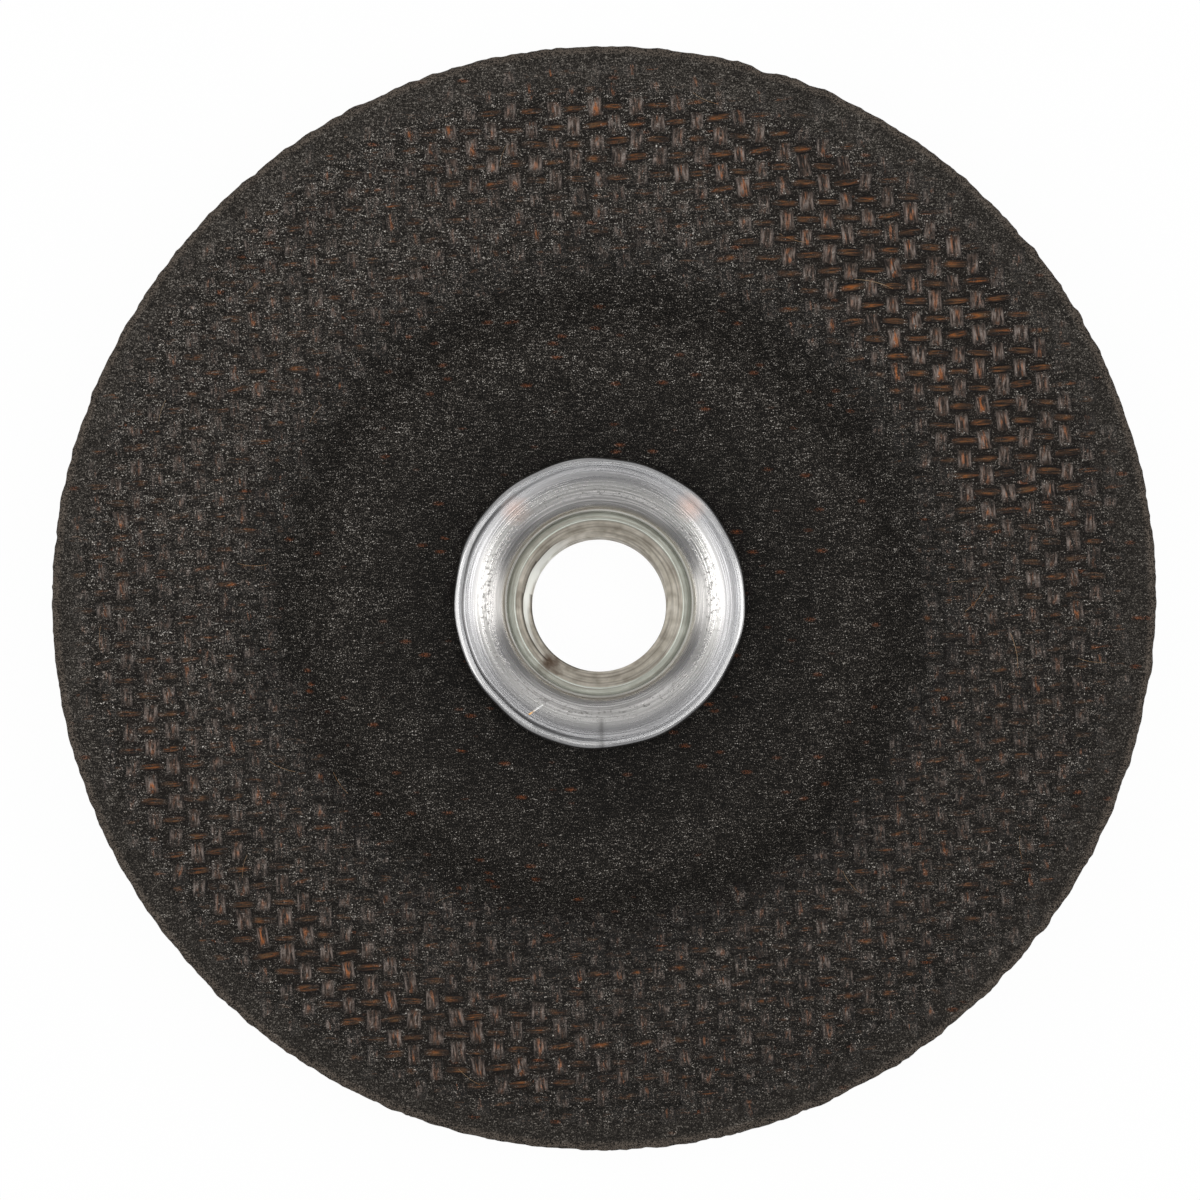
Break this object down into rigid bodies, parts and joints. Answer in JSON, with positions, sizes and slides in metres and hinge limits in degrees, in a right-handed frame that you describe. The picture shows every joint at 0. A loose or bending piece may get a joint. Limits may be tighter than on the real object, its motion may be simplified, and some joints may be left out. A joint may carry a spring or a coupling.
{
  "type": "cut off wheel",
  "caption": "Thin round resin-bonded cut off wheel with a depressed centre, glass mesh face and swaged metal hub threaded for an angle grinder spindle.",
  "frame": {"origin": "centre of the hub's hexagon end, on the spindle axis, where the wheel rests and seats on the spindle", "axes": "+Z along the spindle axis towards the hollow work side, +Y up in the picture"},
  "size_m": [0.1142, 0.1142, 0.0158],
  "materials": {
    "abrasive": "matte black resin-bonded grain with woven glass mesh",
    "hub_metal": "plated steel, burnished where it was swaged"
  },
  "bodies": {
    "root": {"abrasive_disc": "abrasive", "threaded_hub": "hub_metal"}
  },
  "joints": []
}
